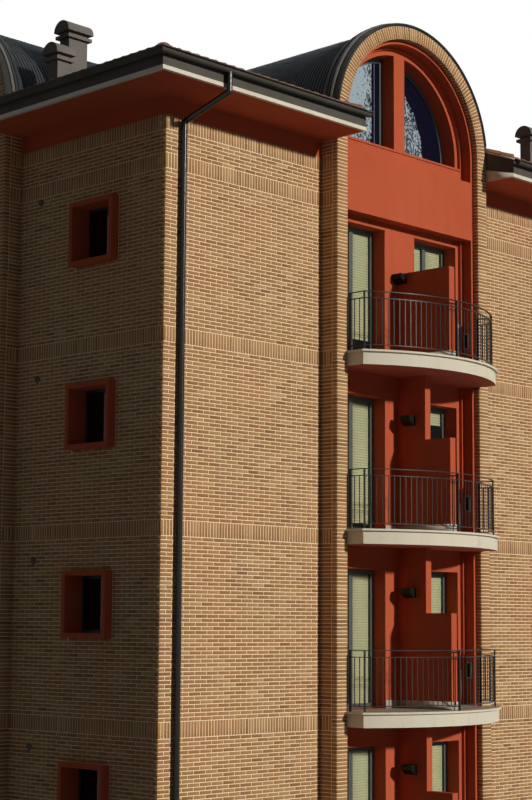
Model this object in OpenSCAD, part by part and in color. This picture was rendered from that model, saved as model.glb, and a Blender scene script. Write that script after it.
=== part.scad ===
// Corner apartment block: ground floor and three upper storeys in face brick.
// Four equal faces. Each has two brick wings and a projecting bay between them:
// brick piers that close in a round arch, balconies, and a barrel roof behind.
// Millimetres, +Z up, origin at ground level below the middle of the block.

/* [Plan] */
// Width of a brick wing, from the corner to the bay
wing_w = 3765; // [3500:5:4200]
// Clear width of a bay between its piers
opening_w = 3800; // [3600:10:4000]
// Width of a pier seen from the front, which is the depth of the arch ring too
pier_w = 265; // [200:5:300]
// How far the piers stand out from the wall
pier_out = 385; // [300:5:480]
// Thickness of the outer walls
wall_t = 380; // [340:5:450]

/* [Storeys] */
// Ground floor above the ground outside
ground_step = 130; // [65:5:200]
// From one floor to the next
storey_h = 3120; // [2950:10:3300]
// Thickness of the floors
slab_t = 260; // [200:5:300]
// Top of the brickwork above the top floor
brick_rise = 3510; // [3450:10:3600]
// Red band between the brickwork and the eaves
frieze_h = 285; // [200:5:330]

/* [Arch] */
// Springing of the arch above the top floor
spring_rise = 4190; // [4160:10:4260]
// Underside of the red parapet panel above the top floor
panel_rise = 2600; // [2550:10:2700]
// Height of the panel
panel_h = 1140; // [1000:10:1200]
// How far the panel stands behind the pier fronts
panel_back = 120; // [60:5:160]
// Sill of the arch window above the top floor
sill_rise = 3985; // [3950:5:4060]
// Width of the red strip between a pier and the door or window beside it
strip_w = 220; // [180:5:260]
// Width of the upright fin in the middle of the arch window
fin_w = 305; // [200:5:400]
// Thickness of the plaster lining inside the piers and the arch
lining_t = 70; // [50:5:80]
// Width and depth of the small step behind the lining
lining_step = 60; // [30:5:90]
// Thickness of the metal cap over the arch
cap_t = 25; // [15:5:40]

/* [Doors] */
// Width of the red wall between the two doors of a bay
centre_w = 860; // [700:10:1000]
// Height of a door opening above its floor
door_h = 2470; // [2300:10:2550]
// Depth of the reveal in front of doors and arch windows
reveal_d = 280; // [200:5:300]
// Depth of the aluminium frames
frame_d = 60; // [50:1:70]
// Width of a fixed frame bar
frame_w = 40; // [30:1:60]
// Width of the stiles and rails of a leaf
stile_w = 50; // [40:1:70]
// Thickness of the glass
glass_t = 20; // [16:1:26]
// Clearance around a leaf that swings
leaf_gap = 6; // [5:1:10]

/* [Windows] */
// Outer width of the red surround of a wing window
surround_w = 1100; // [900:10:1300]
// Outer height of the surround
surround_h = 1105; // [900:5:1300]
// Thickness of the surround
surround_t = 80; // [50:5:110]
// How far the surround stands out from the brickwork
surround_out = 160; // [80:5:220]
// Middle of the window from the corner of the block
window_from_corner = 1690; // [1500:10:2000]
// Bottom of the surround above its floor
window_rise = 1235; // [1000:5:1300]

/* [Balconies] */
// Reach of a balcony beyond the pier fronts, at its middle
balcony_reach = 1065; // [900:5:1200]
// Reach of a balcony beyond the pier fronts, at its ends
balcony_side = 400; // [300:5:500]
// How far a balcony runs past the opening, across the pier fronts
balcony_over = 60; // [40:5:180]
// Height of the thin nosing at the top of the slab edge
nosing_h = 35; // [20:5:60]
// How far the nosing stands out from the slab edge
nosing_out = 50; // [15:5:60]
// Height of the handrail above the balcony floor
rail_h = 1050; // [950:10:1150]
// Distance from the slab edge in to the railing
rail_inset = 120; // [80:5:150]
// Thickness of the wall that divides a balcony
divider_t = 150; // [100:5:200]
// Reach of the low part of the dividing wall from the house wall
divider_reach = 1220; // [1000:10:1250]
// Height of the low part
divider_h = 1690; // [1500:10:1900]
// Reach of the high part
divider_high = 650; // [400:10:900]

/* [Roof] */
// Overhang of the eaves from the brickwork
eave_out = 1050; // [850:10:1200]
// Height of the white trim, which is the thickness of the soffit board too
trim_h = 65; // [40:5:90]
// Radius of the gutter
gutter_r = 75; // [55:1:90]
// Pitch of the tiled roof in degrees
pitch = 21; // [18:0.5:24]
// Thickness of the tiles and boards together, measured upright
tile_t = 50; // [40:5:90]
// Step down from the outer edge of the arch to the barrel roof
barrel_step = 65; // [45:5:100]
// Thickness of the barrel roofs
barrel_t = 60; // [40:5:80]
// Height of the fascia board above the trim
fascia_h = 240; // [180:5:280]
// Diameter of the downpipes
pipe_d = 100; // [80:5:120]
// Distance from the corner of the block to a downpipe
pipe_from_corner = 330; // [250:10:600]

/* [Hidden] */
$fn = 96;

storeys = 4;
top_k = storeys - 1;
bay_half = opening_w / 2 + pier_w;
half = wing_w + bay_half;
glazed_half = opening_w / 2 - strip_w;
door_w = glazed_half - centre_w / 2;
door_x = (glazed_half + centre_w / 2) / 2;

function level(k) = ground_step + k * storey_h;
top_z = level(top_k);
brick_top = top_z + brick_rise;
soffit_z = brick_top + frieze_h;
spring_z = top_z + spring_rise;
sill_z = top_z + sill_rise;
panel_z = top_z + panel_rise;
ring_r = opening_w / 2;
barrel_r = bay_half - barrel_step;
lining_y = -(pier_out - panel_back);
step_r = ring_r - lining_t - lining_step;

// Depth of everything that is cut right through
through = 100;

// Colours
brick = "#c89b69";
red = "#bc5c3e";
white = "#e1d7c3";
metal = "#4b4641";
grey = "#64695f";
dark = "#262a33";
pane = "#9fb4b8";
tile = "#9a6650";

// Sides of the block: 0 front, 1 right, 2 rear, 3 left. In a side's own frame
// X runs along the wall from the middle of the bay and the wall face is Y = 0.
module side(i) {
    rotate([0, 0, 90 * i]) translate([0, -half, 0]) children();
}

module all_sides() {
    for (i = [0:3]) side(i) children();
}

module both_hands() {
    children();
    mirror([1, 0, 0]) children();
}

// A box from its low corner and its high corner
module block(a, b) {
    translate(a) cube(b - a);
}

// An outline in X and Z, drawn standing, from y0 back to y1
module standing(y0, y1) {
    translate([0, y1, 0]) rotate([90, 0, 0]) linear_extrude(y1 - y0) children();
}

// Arch outline of radius r, with straight legs down to the height z0
module arch_outline(r, z0) {
    translate([0, spring_z]) intersection() {
        circle(r, $fn = 240);
        translate([-r, 0]) square([2 * r, r]);
    }
    if (z0 < spring_z)
        translate([-r, z0]) square([2 * r, spring_z - z0]);
}

// Blank brick wings, to the left and right of the front and rear bays
module wing_walls() {
    color(brick) for (i = [0, 2]) side(i) both_hands() block([bay_half, 0, 0], [half, wall_t, brick_top]);
}

window_lo = half - window_from_corner - surround_w / 2;
window_hi = window_lo + surround_w;

// The side wings stand between the front and rear wings, with a column of
// windows in each. Their solid parts run from the ground to the top.
module window_wing_walls() {
    color(brick) for (i = [1, 3]) side(i) both_hands() {
        block([bay_half, 0, 0], [window_lo, wall_t, brick_top]);
        block([window_hi, 0, 0], [half - wall_t, wall_t, brick_top]);
    }
}

function window_z(k) = level(k) + window_rise;

// The wall between one window and the next above it
module window_walls() {
    color(brick) for (i = [1, 3]) side(i) both_hands() for (k = [0:storeys]) {
        z0 = k == 0 ? 0 : window_z(k - 1) + surround_h;
        z1 = k == storeys ? brick_top : window_z(k);
        block([window_lo, 0, z0], [window_hi, wall_t, z1]);
    }
}

// Red walls of the bays
module bay_wall() {
    block([-centre_w / 2, 0, 0], [centre_w / 2, wall_t, sill_z]);
    both_hands() block([glazed_half, 0, 0], [bay_half, wall_t, sill_z]);
}

module bay_walls() color(red) all_sides() bay_wall();

module lintels() {
    both_hands() for (k = [0:top_k]) {
        z1 = k == top_k ? sill_z : level(k + 1);
        block([centre_w / 2, 0, level(k) + door_h], [glazed_half, wall_t, z1]);
    }
}

module door_lintels() color(red) all_sides() lintels();

// Brick piers that close in a round arch
module brick_arch() {
    standing(-pier_out, 0) difference() {
        arch_outline(bay_half, 0);
        arch_outline(ring_r, -through);
    }
}

module front_arch() color(brick) side(0) brick_arch();

module rear_arch() color(brick) side(2) brick_arch();

module left_arch() color(brick) side(3) brick_arch();

module right_arch() color(brick) side(1) brick_arch();

// Plaster lining inside the piers and the arch, with a small step at the wall
module arch_lining() {
    standing(lining_y, 0) difference() {
        arch_outline(ring_r, 0);
        arch_outline(ring_r - lining_t, -through);
    }
    standing(-lining_step, 0) difference() {
        arch_outline(ring_r - lining_t, 0);
        arch_outline(step_r, -through);
    }
}

module arch_linings() color(red) all_sides() arch_lining();

// Outline in plan of what fits between the stepped linings
module between_linings() {
    translate([-ring_r + lining_t, lining_y]) square([2 * (ring_r - lining_t), -lining_y - lining_step]);
    translate([-step_r, -lining_step]) square([2 * step_r, lining_step]);
}

module arch_panels() {
    color(red) all_sides() translate([0, 0, panel_z]) linear_extrude(panel_h) between_linings();
}

// Red wall around the arch window, with its fin. Its shoulders carry the barrel roof.
module arch_surround() {
    standing(0, wall_t) {
        difference() {
            union() {
                arch_outline(barrel_r - barrel_t, sill_z);
                translate([-bay_half, sill_z]) square([2 * bay_half, spring_z - sill_z]);
            }
            arch_outline(glazed_half, sill_z - through);
        }
        translate([-fin_w / 2, sill_z]) square([fin_w, spring_z + glazed_half - sill_z]);
    }
}

module arch_surrounds() color(red) all_sides() arch_surround();

// The metal cap ends above the roof, where it is no wider than the piers
cap_z = spring_z + sqrt(pow(bay_half + cap_t, 2) - pow(bay_half, 2));

module arch_caps() {
    color(metal) all_sides() standing(-pier_out - cap_t, 0) difference() {
        arch_outline(bay_half + cap_t, spring_z);
        arch_outline(bay_half, spring_z - through);
        translate([-2 * bay_half, 0]) square([4 * bay_half, cap_z]);
    }
}

// A ledge stands on the panel, flush with the step in the lining. Its top is the sill
// of the arch window, with a lip that runs on in front of the fin.
sill_t = 40;
sill_out = 20;

module arch_sill() {
    both_hands() block([fin_w / 2, 0, sill_z], [glazed_half, reveal_d + frame_d, sill_z + sill_t]);
    block([-step_r, -lining_step, panel_z + panel_h], [step_r, 0, sill_z + sill_t]);
    block([-step_r, -lining_step - sill_out, sill_z], [step_r, -lining_step, sill_z + sill_t]);
}

module arch_sills() color(red) all_sides() arch_sill();

// Outline of one half of the arch window, with its edges moved in by d
module half_window(d) {
    intersection() {
        arch_outline(glazed_half - d, sill_z + sill_t + d);
        translate([fin_w / 2 + d, 0]) square([glazed_half, 2 * spring_z]);
    }
}

module arch_window_frames() {
    color(grey) all_sides() both_hands() standing(reveal_d, reveal_d + frame_d) difference() {
        half_window(0);
        half_window(frame_w + stile_w);
    }
}

glass_y = reveal_d + (frame_d - glass_t) / 2;

module arch_window_glass() {
    color(pane) all_sides() both_hands() {
        standing(glass_y, glass_y + glass_t) half_window(frame_w + stile_w);
    }
}

// Balconies. The outer edge is an arc through the ends and the middle.
slab_half = ring_r + balcony_over;
bow = balcony_reach - balcony_side;
edge_r = (slab_half * slab_half + bow * bow) / (2 * bow);
edge_y = -pier_out - balcony_reach + edge_r;

// Outline in plan of the part in front of the piers, moved in by d
module balcony_front(d) {
    intersection() {
        translate([0, edge_y]) circle(edge_r - d, $fn = 192);
        translate([-slab_half + d, -pier_out - balcony_reach]) square([2 * (slab_half - d), balcony_reach]);
    }
}

module balcony_back() {
    translate([-ring_r, -pier_out]) square([2 * ring_r, panel_back]);
    between_linings();
}

module balcony(k) {
    translate([0, 0, level(k) - slab_t]) linear_extrude(slab_t) {
        balcony_front(nosing_out);
        balcony_back();
    }
    translate([0, 0, level(k) - nosing_h]) linear_extrude(nosing_h) balcony_front(0);
}

module balconies() color(white) for (k = [1:top_k]) balcony(k);

module front_balconies() side(0) balconies();

module rear_balconies() side(2) balconies();

module left_balconies() side(3) balconies();

module right_balconies() side(1) balconies();

// Railings
rail_w = 40;
rail_t = 14;
second_drop = 130;
low_rail = 90;
post_w = 30;

// Outline in plan of a flat bar of width w that follows the railing line
module rail_plan(w) {
    difference() {
        balcony_front(rail_inset - w / 2);
        balcony_front(rail_inset + w / 2);
        translate([0, -pier_out - rail_t]) translate([-slab_half, 0]) square([2 * slab_half, 2 * rail_t]);
    }
}

module rail(z, w) {
    translate([0, 0, z]) linear_extrude(rail_t) rail_plan(w);
}

// Posts and bars stand on the railing line at these angles from the middle of the arc
rail_r = edge_r - rail_inset;
rail_half = slab_half - rail_inset;
end_angle = asin(rail_half / rail_r);
bar_w = 12;
bar_pitch = 105;
bays = 2;
bars = round(2 * rail_half / bays / bar_pitch);
bar_angle = 2 * end_angle / bays / bars;
end_y = edge_y - rail_r * cos(end_angle);
end_bars = round((-pier_out - end_y) / bar_pitch);
end_pitch = (-pier_out - end_y) / end_bars;

module upright(a, w, z0, z1) {
    translate([rail_r * sin(a), edge_y - rail_r * cos(a), z0]) rotate([0, 0, a])
        translate([-w / 2, -w / 2, 0]) cube([w, w, z1 - z0]);
}

module railing(k) {
    z = level(k);
    rail(z + rail_h - rail_t, rail_w);
    rail(z + rail_h - second_drop, post_w);
    rail(z + low_rail, post_w);
    for (i = [0:bays]) upright((2 * i / bays - 1) * end_angle, post_w, z, z + rail_h - rail_t / 2);
    for (i = [0:bays - 1], j = [1:bars - 1]) {
        a = (2 * i / bays - 1) * end_angle + j * bar_angle;
        upright(a, bar_w, z + low_rail, z + rail_h - second_drop + rail_t / 2);
    }
    both_hands() {
        translate([rail_half - post_w / 2, -pier_out - post_w, z])
            cube([post_w, post_w, rail_h - rail_t / 2]);
        for (j = [1:end_bars - 1])
            translate([rail_half - bar_w / 2, end_y + j * end_pitch - bar_w / 2, z + low_rail])
                cube([bar_w, bar_w, rail_h - second_drop + rail_t / 2 - low_rail]);
    }
}

module railings() color(metal) for (k = [1:top_k]) railing(k);

module front_railings() side(0) railings();

module rear_railings() side(2) railings();

module left_railings() side(3) railings();

module right_railings() side(1) railings();

// Walls that divide the balconies, low in front and high beside the house wall
module divider(k) {
    z0 = k == 0 ? 0 : level(k);
    t = divider_t / 2;
    block([-t, -divider_reach, z0], [t, 0, level(k) + divider_h]);
    if (k < top_k)
        block([-t, -divider_high, level(k) + divider_h], [t, 0, level(k + 1) - slab_t]);
}

module divider_walls() color(red) all_sides() for (k = [0:top_k]) divider(k);

// A lamp on each side of every dividing wall, near the house wall. The top ones sit
// lower and closer, because the wall behind them is low.
lamp_l = 230;
lamp_h = 180;
lamp_t = 160;
lamp_rise = 1960;
lamp_from_wall = 190;
top_lamp_drop = 200;

module lamp() {
    rotate([90, 0, 0]) linear_extrude(lamp_l) polygon([
        [0, 0], [lamp_t / 3, 0], [lamp_t, lamp_h / 2], [lamp_t, lamp_h], [0, lamp_h]
    ]);
}

module wall_lamps() {
    color(metal) all_sides() both_hands() {
        for (k = [0:top_k - 1])
            translate([divider_t / 2, -lamp_from_wall, level(k) + lamp_rise]) lamp();
        translate([divider_t / 2, -seat, top_z + divider_h - top_lamp_drop]) lamp();
    }
}

// Glazed doors with two leaves
module door_outline() {
    translate([-door_w / 2, 0]) square([door_w, door_h]);
}

pane_edge = frame_w + stile_w;
module door_pane() {
    translate([stile_w, pane_edge]) square([door_w / 2 - pane_edge - stile_w, door_h - 2 * pane_edge]);
}

// Every door but the front pair at ground level that opens
module fixed_doors() {
    for (i = [0:3]) side(i) for (k = [0:top_k], s = [-1, 1]) {
        if (!(i == 0 && k == 0 && s == -1)) translate([s * door_x, 0, level(k)]) children();
    }
}

module door_frames() {
    color(grey) fixed_doors() standing(reveal_d, reveal_d + frame_d) difference() {
        door_outline();
        both_hands() door_pane();
    }
}

module door_glass() {
    color(pane) fixed_doors() standing(glass_y, glass_y + glass_t) both_hands() door_pane();
}

// The pair of garden doors stands in a frame of its own, open at the bottom
module garden_door_frame() {
    color(grey) side(0) translate([-door_x, 0, level(0)]) {
        standing(reveal_d, reveal_d + frame_d) difference() {
            door_outline();
            translate([-door_w / 2 + frame_w, -through])
                square([door_w - 2 * frame_w, door_h - frame_w + through]);
        }
    }
}

leaf_w = door_w / 2 - frame_w - leaf_gap * 1.5;
leaf_h = door_h - frame_w - 3 * leaf_gap;
leaf_z = 2 * leaf_gap;

// Barrel hinges on the room side. The axis stands clear of the leaf's inner face.
hinge_r = 5;
hinge_d = 11;
knuckle_h = 45;
knuckle_gap = 0.3;
hinge_plate = 28;
hinge_gap = 2;
hinge_inset = 250;
hinge_heights = [hinge_inset, leaf_h - hinge_inset];
hinge_y = reveal_d + frame_d + leaf_gap;

// One leaf, drawn from its hinge side at X = 0 towards the middle. It carries the
// upper half of each hinge.
module leaf() {
    standing(reveal_d, reveal_d + frame_d) difference() {
        square([leaf_w, leaf_h]);
        translate([stile_w, stile_w]) square([leaf_w - 2 * stile_w, leaf_h - 2 * stile_w]);
    }
    for (h = hinge_heights) translate([0, hinge_y, h + knuckle_gap]) {
        cylinder(r = hinge_r, h = knuckle_h);
        translate([0, -leaf_gap, 0]) cube([hinge_plate, hinge_d, knuckle_h]);
    }
}

// The lower half of each hinge, on a plate screwed to the frame
module leaf_hinges() {
    for (h = hinge_heights) translate([0, hinge_y, h - knuckle_h]) {
        cylinder(r = hinge_r, h = knuckle_h);
        translate([-leaf_gap - hinge_gap, hinge_gap - leaf_gap, 0])
            cube([leaf_gap + hinge_gap, hinge_d - 2 * hinge_gap, knuckle_h]);
        translate([-hinge_plate - leaf_gap, -leaf_gap, 0])
            cube([hinge_plate - hinge_gap, hinge_d, knuckle_h]);
    }
}

module leaf_glass() {
    standing(glass_y, glass_y + glass_t) translate([stile_w, stile_w])
        square([leaf_w - 2 * stile_w, leaf_h - 2 * stile_w]);
}

hinge_x = door_w / 2 - frame_w - leaf_gap;

module garden_door_hinges() {
    color(grey) {
        at_left_leaf() leaf_hinges();
        at_right_leaf() leaf_hinges();
    }
}

module at_left_leaf() {
    side(0) translate([-door_x - hinge_x, 0, level(0) + leaf_z]) children();
}

module at_right_leaf() {
    side(0) translate([-door_x + hinge_x, 0, level(0) + leaf_z]) mirror([1, 0, 0]) children();
}

module garden_door_left() color(grey) at_left_leaf() leaf();

module garden_door_right() color(grey) at_right_leaf() leaf();

module garden_door_left_glass() color(pane) at_left_leaf() leaf_glass();

module garden_door_right_glass() color(pane) at_right_leaf() leaf_glass();

// Windows of the side wings
module wing_windows() {
    for (i = [1, 3]) side(i) both_hands() for (k = [0:top_k]) {
        translate([window_lo, 0, window_z(k)]) children();
    }
}

module window_outline(d) {
    translate([d, d]) square([surround_w - 2 * d, surround_h - 2 * d]);
}

module window_surrounds() {
    color(red) wing_windows() standing(-surround_out, reveal_d) difference() {
        window_outline(0);
        window_outline(surround_t);
    }
}

window_y = reveal_d - frame_d;

module window_frames() {
    color(grey) wing_windows() standing(window_y, reveal_d) difference() {
        window_outline(surround_t);
        window_outline(surround_t + stile_w);
    }
}

module window_glass() {
    y = window_y + (frame_d - glass_t) / 2;
    color(pane) wing_windows() standing(y, y + glass_t) window_outline(surround_t + stile_w);
}

// Floors
inner_half = half - wall_t;

module floor_plate(z0, z1) {
    block([-inner_half, -inner_half, z0], [inner_half, inner_half, z1]);
}

// The ground floor runs out under the doors
module ground_floor() {
    color("#b9b2a6") {
        floor_plate(0, level(0));
        all_sides() both_hands() block([centre_w / 2, 0, 0], [glazed_half, wall_t, level(0)]);
    }
}

module upper_floors() {
    color("#c9c4b8") for (k = [1:top_k]) floor_plate(level(k) - slab_t, level(k));
}

module attic_floor() color("#c9c4b8") floor_plate(panel_z, panel_z + slab_t);

// Eaves. Each wing has a run of its own, from the bay to the mitre at the corner.
// An outline is drawn with X as the distance out from the brickwork.
module eaves_run(reach) {
    intersection() {
        translate([bay_half, 0, 0]) rotate([90, 0, 90]) linear_extrude(half + reach)
            mirror([1, 0]) children();
        linear_extrude(2 * spring_z)
            polygon([[0, wall_t], [half - wall_t, wall_t], [half + reach, -reach], [0, -reach]]);
    }
}

module every_eaves_run(reach) {
    all_sides() both_hands() eaves_run(reach) children();
}

slope = tan(pitch);
tile_over = 30;
roof_out = eave_out + tile_over;
fascia_t = 25;
roof_z = soffit_z + trim_h + fascia_h;

// Clearance where a piece rests on another that is cut at a slope
seat = 0.3;

// Height of the roof's seat at the distance u out from the brickwork
function roof_under(u) = roof_z + slope * (roof_out - u) - seat;

// The red band goes on up behind the soffit and carries the roof
module eaves() {
    color(red) every_eaves_run(eave_out) {
        polygon([
            [-wall_t, brick_top], [0, brick_top], [0, roof_under(0)], [-wall_t, roof_under(-wall_t)]
        ]);
        translate([0, soffit_z]) square([eave_out - trim_h, trim_h]);
    }
}

module eaves_trim() {
    color(white) every_eaves_run(eave_out) {
        translate([eave_out - trim_h, soffit_z]) square([trim_h, trim_h]);
    }
}

gutter_t = 4;
gutter_x = eave_out + gutter_r;
gutter_z = roof_z - 2 * gutter_t;

module gutters() {
    color(metal) {
        every_eaves_run(gutter_x + gutter_r) {
            translate([gutter_x, gutter_z]) intersection() {
                difference() {
                    circle(gutter_r);
                    circle(gutter_r - gutter_t);
                }
                translate([-gutter_r, -gutter_r]) square([2 * gutter_r, gutter_r]);
            }
            polygon([
                [eave_out - fascia_t, soffit_z + trim_h], [eave_out, soffit_z + trim_h],
                [eave_out, roof_under(eave_out)], [eave_out - fascia_t, roof_under(eave_out - fascia_t)]
            ]);
        }
        all_sides() both_hands() verge();
    }
}

// Board that closes the end of the eaves beside the arch
module verge() {
    translate([bay_half, 0, 0]) rotate([90, 0, 90]) linear_extrude(fascia_t) mirror([1, 0])
        polygon([
            [0, soffit_z + trim_h], [eave_out - fascia_t, soffit_z + trim_h],
            [eave_out - fascia_t, roof_under(eave_out - fascia_t)], [0, roof_under(0)]
        ]);
}

// Pyramid roof over the whole block, from the height z at its edge
roof_half = half + roof_out;

module wedge(z) {
    rotate([90, 0, 0]) translate([0, 0, -roof_half]) linear_extrude(2 * roof_half)
        polygon([[-roof_half, z], [0, z + slope * roof_half], [roof_half, z]]);
}

module pyramid(z) {
    intersection() {
        wedge(z);
        rotate([0, 0, 90]) wedge(z);
    }
}

// The space that the four barrel roofs take up
module barrel_cross(r, z0) {
    for (a = [0, 90]) rotate([0, 0, a]) standing(-half, half) arch_outline(r, z0);
}

module main_roof() {
    color(tile) difference() {
        pyramid(roof_z + tile_t);
        pyramid(roof_z);
        barrel_cross(barrel_r, roof_z - through);
        all_sides() block([-bay_half, -roof_out - through, 0], [bay_half, 0, 2 * spring_z]);
    }
}

module barrel_roofs() {
    color(dark) difference() {
        barrel_cross(barrel_r, spring_z);
        barrel_cross(barrel_r - barrel_t, spring_z - through);
    }
}

// Chimneys: [distance from the left corner, from the front corner, top above the eaves, length]
chimney_w = 260;
chimney_spots = [[350, 3230, 1060, 275], [980, 3600, 1690, 430], [11510, 990, 1430, 360]];

module at_chimneys() {
    for (c = chimney_spots) translate([c[0] - half, c[1] - half, 0]) {
        $top = roof_z + c[2];
        $long = c[3];
        children();
    }
}

module chimneys() {
    color(metal) difference() {
        at_chimneys() translate([-$long / 2, -chimney_w / 2, roof_z + tile_t])
            cube([$long, chimney_w, $top - roof_z - tile_t]);
        pyramid(roof_z + tile_t);
    }
}

// Half-barrel cowl on a plate
cowl_r = 210;
cowl_over = 80;
plate_t = 60;

module chimney_caps() {
    color(metal) at_chimneys() translate([0, 0, $top]) {
        translate([-$long / 2 - plate_t, -chimney_w / 2 - plate_t, 0])
            cube([$long + 2 * plate_t, chimney_w + 2 * plate_t, plate_t]);
        translate([-$long / 2, -chimney_w / 2, plate_t]) cube([$long, chimney_w, plate_t]);
        translate([-$long / 2 - cowl_over, 0, 2 * plate_t]) rotate([90, 0, 90])
            linear_extrude($long + 2 * cowl_over) intersection() {
                circle(cowl_r);
                translate([-cowl_r, 0]) square([2 * cowl_r, cowl_r]);
            }
    }
}

// Downpipes: out of the gutter, back to the wall and down to the ground
pipe_off = 30;
outlet_h = 80;
lean_h = 300;
pipe_y = pipe_d / 2 + pipe_off;
bend_z = soffit_z - outlet_h;
wall_bend_z = bend_z - lean_h;
pipe_foot = 60;
clip_h = 28;

module downpipe() {
    x = -half + pipe_from_corner;
    r = pipe_d / 2;
    run = [gutter_x - pipe_y, bend_z - wall_bend_z];
    lean = atan2(run[0], run[1]);
    translate([x, 0, 0]) {
        difference() {
            translate([0, -gutter_x, bend_z]) cylinder(r = r, h = gutter_z - bend_z);
            translate([-pipe_d, -gutter_x, gutter_z]) rotate([0, 90, 0])
                cylinder(r = gutter_r, h = 2 * pipe_d);
        }
        translate([0, -gutter_x, bend_z]) sphere(r);
        translate([0, -pipe_y, wall_bend_z]) rotate([lean, 0, 0]) cylinder(r = r, h = norm(run));
        translate([0, -pipe_y, wall_bend_z]) sphere(r);
        translate([0, -pipe_y, pipe_foot]) cylinder(r = r, h = wall_bend_z - pipe_foot);
        for (k = [0:top_k])
            translate([-r, -pipe_y, level(k) + storey_h / 2]) cube([pipe_d, pipe_y, clip_h]);
    }
}

module downpipes() color(metal) all_sides() downpipe();

wing_walls();
window_wing_walls();
window_walls();
bay_walls();
door_lintels();
front_arch();
rear_arch();
left_arch();
right_arch();
arch_linings();
arch_panels();
arch_surrounds();
arch_sills();
arch_caps();
arch_window_frames();
arch_window_glass();
front_balconies();
rear_balconies();
left_balconies();
right_balconies();
front_railings();
rear_railings();
left_railings();
right_railings();
divider_walls();
wall_lamps();
door_frames();
door_glass();
garden_door_frame();
garden_door_hinges();
garden_door_left();
garden_door_right();
garden_door_left_glass();
garden_door_right_glass();
window_surrounds();
window_frames();
window_glass();
ground_floor();
upper_floors();
attic_floor();
eaves();
eaves_trim();
gutters();
main_roof();
barrel_roofs();
chimneys();
chimney_caps();
downpipes();
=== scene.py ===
"""Corner apartment block: the looks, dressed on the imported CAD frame.

Metres, +Z up. Sizes come from the frame's nodes. In a side's own frame X runs along
the wall from the middle of the bay, the wall face is Y = 0 and Y is negative in front
of it, as in the part's source. Sides: 0 front, 1 right, 2 rear, 3 left.
"""
import math

import bpy
import numpy as np
from mathutils import Matrix, Vector

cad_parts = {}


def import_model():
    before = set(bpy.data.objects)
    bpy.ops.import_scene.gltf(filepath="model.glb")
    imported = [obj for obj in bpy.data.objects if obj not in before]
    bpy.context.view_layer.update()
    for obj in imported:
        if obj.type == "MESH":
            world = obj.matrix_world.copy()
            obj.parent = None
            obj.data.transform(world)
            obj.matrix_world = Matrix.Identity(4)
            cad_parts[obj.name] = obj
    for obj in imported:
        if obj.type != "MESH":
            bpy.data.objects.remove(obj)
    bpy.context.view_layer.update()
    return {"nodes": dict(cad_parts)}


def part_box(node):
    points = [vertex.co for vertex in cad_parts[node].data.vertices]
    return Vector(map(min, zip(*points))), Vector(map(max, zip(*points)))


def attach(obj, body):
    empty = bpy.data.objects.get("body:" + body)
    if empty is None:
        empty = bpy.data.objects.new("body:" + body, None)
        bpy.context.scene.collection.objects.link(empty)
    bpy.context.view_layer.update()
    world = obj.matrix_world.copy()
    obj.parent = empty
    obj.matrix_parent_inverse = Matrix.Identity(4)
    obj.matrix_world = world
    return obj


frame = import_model()
cad = frame["nodes"]
rng = np.random.default_rng(11)


# ---- Sizes, from the frame ----

def low(node):
    """The low corner of a node's box."""
    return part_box(node)[0]


def high(node):
    """The high corner of a node's box."""
    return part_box(node)[1]


SIDES = ("front", "right", "rear", "left")
STOREYS = 4
# Half the block, its walls, the top of their bricks and the soffit of the eaves
HALF = high("wing_walls").x
WALL_T = 0.38
BRICK_TOP = high("wing_walls").z
FRIEZE_H = 0.285
SOFFIT_Z = BRICK_TOP + FRIEZE_H
# The bay: half its width, how far its piers stand out, their width, the arch's inner radius
# and springing, and the foot of the red panel below it
BAY_HALF = high("front_arch").x
PIER_OUT = -HALF - low("front_arch").y
PIER_W = 0.265
RING_R = BAY_HALF - PIER_W
SPRING_Z = high("front_arch").z - BAY_HALF
PANEL_Z = low("arch_panels").z
# The red lining behind the bricks of the arch, and half the wall between two balconies
PANEL_BACK = 0.12
LINING_T = 0.07
LINING_Y = PANEL_BACK - PIER_OUT
LINING_X = RING_R - LINING_T
DIVIDER_X = 0.075
# Floors. Faces of a balcony that look down are red if they lie more than NOSING below it.
GROUND_Z = high("ground_floor").z
SLAB_T = 0.26
NOSING = 0.15
STOREY_H = (high("upper_floors").z - GROUND_Z) / (STOREYS - 1)
# Windows of the side wings, with their surrounds
WINDOW_W = 1.1
WINDOW_H = 1.105
WINDOW_HIGH_X = high("window_surrounds").y
WINDOW_RISE = low("window_surrounds").z - GROUND_Z
# Doors, the middle of the right one, and the panes of their leaves, which start at PANE_IN
# from where two leaves meet and at PANE_EDGE from the other three edges
DOOR_H = 2.47
DOOR_W = 1.25
DOOR_X = 1.055
PANE_IN = 0.05
PANE_EDGE = 0.09
PANE_W = DOOR_W / 2 - PANE_EDGE - PANE_IN


def level(k):
    """Height of a storey's floor, 0 for the ground floor."""
    return GROUND_Z + k * STOREY_H


def to_part(points, side):
    """Points of a side's own frame, in the part's frame."""
    p = np.asarray(points, float) - (0, HALF, 0)
    c, s = ((1, 0), (0, 1), (-1, 0), (0, -1))[side]
    return np.column_stack((c * p[:, 0] - s * p[:, 1], s * p[:, 0] + c * p[:, 1], p[:, 2]))


# ---- Materials ----

def rgb(r, g, b):
    """A colour of the photograph, 0 to 255, as the linear colour that Blender takes."""
    def linear(v):
        v /= 255
        return v / 12.92 if v <= 0.04045 else ((v + 0.055) / 1.055) ** 2.4
    return (linear(r), linear(g), linear(b), 1)


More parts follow.
